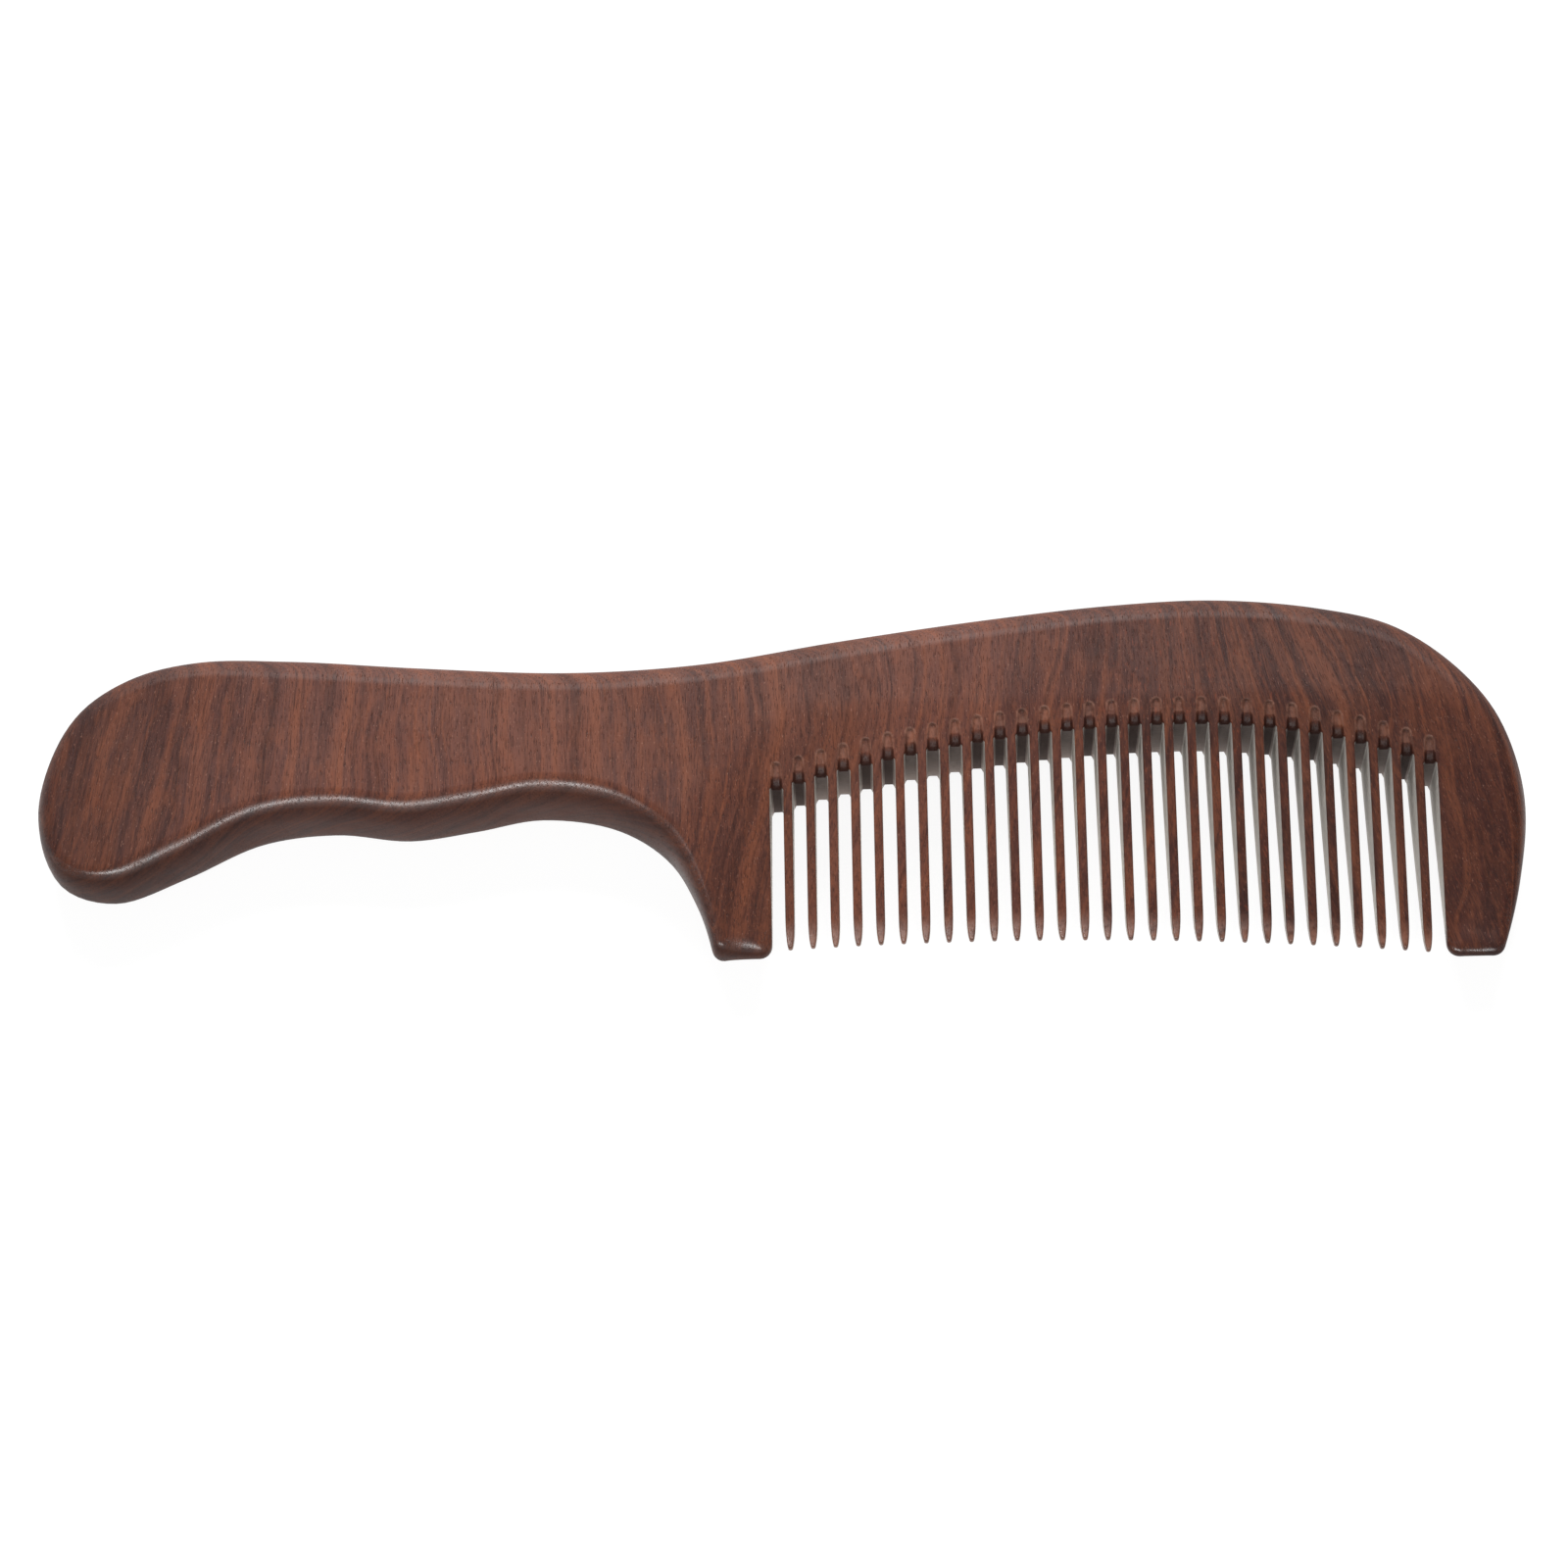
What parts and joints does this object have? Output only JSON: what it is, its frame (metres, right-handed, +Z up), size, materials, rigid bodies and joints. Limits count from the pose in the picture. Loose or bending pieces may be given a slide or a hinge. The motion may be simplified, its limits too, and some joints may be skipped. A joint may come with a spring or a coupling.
{
  "type": "hair comb",
  "caption": "Wooden hair comb with a contoured, finger-grooved handle in line with a thick back and a row of fine tapered teeth; it lies flat.",
  "frame": {"origin": "middle of the comb's footprint, on the plane of its flat underside", "axes": "+X from the handle to the free end of the head, +Y from the tooth tips to the back, +Z up through the thickness"},
  "size_m": [0.2, 0.0516, 0.012],
  "materials": {
    "wood": "oiled and rubbed smooth, semi-matt"
  },
  "bodies": {
    "root": {"handle": "wood", "back": "wood", "handle_guard": "wood", "tooth_01": "wood", "tooth_02": "wood", "tooth_03": "wood", "tooth_04": "wood", "tooth_05": "wood", "tooth_06": "wood", "tooth_07": "wood", "tooth_08": "wood", "tooth_09": "wood", "tooth_10": "wood", "tooth_11": "wood", "tooth_12": "wood", "tooth_13": "wood", "tooth_14": "wood", "tooth_15": "wood", "tooth_16": "wood", "tooth_17": "wood", "tooth_18": "wood", "tooth_19": "wood", "tooth_20": "wood", "tooth_21": "wood", "tooth_22": "wood", "tooth_23": "wood", "tooth_24": "wood", "tooth_25": "wood", "tooth_26": "wood", "tooth_27": "wood", "tooth_28": "wood", "tooth_29": "wood", "free_guard": "wood"}
  },
  "joints": []
}
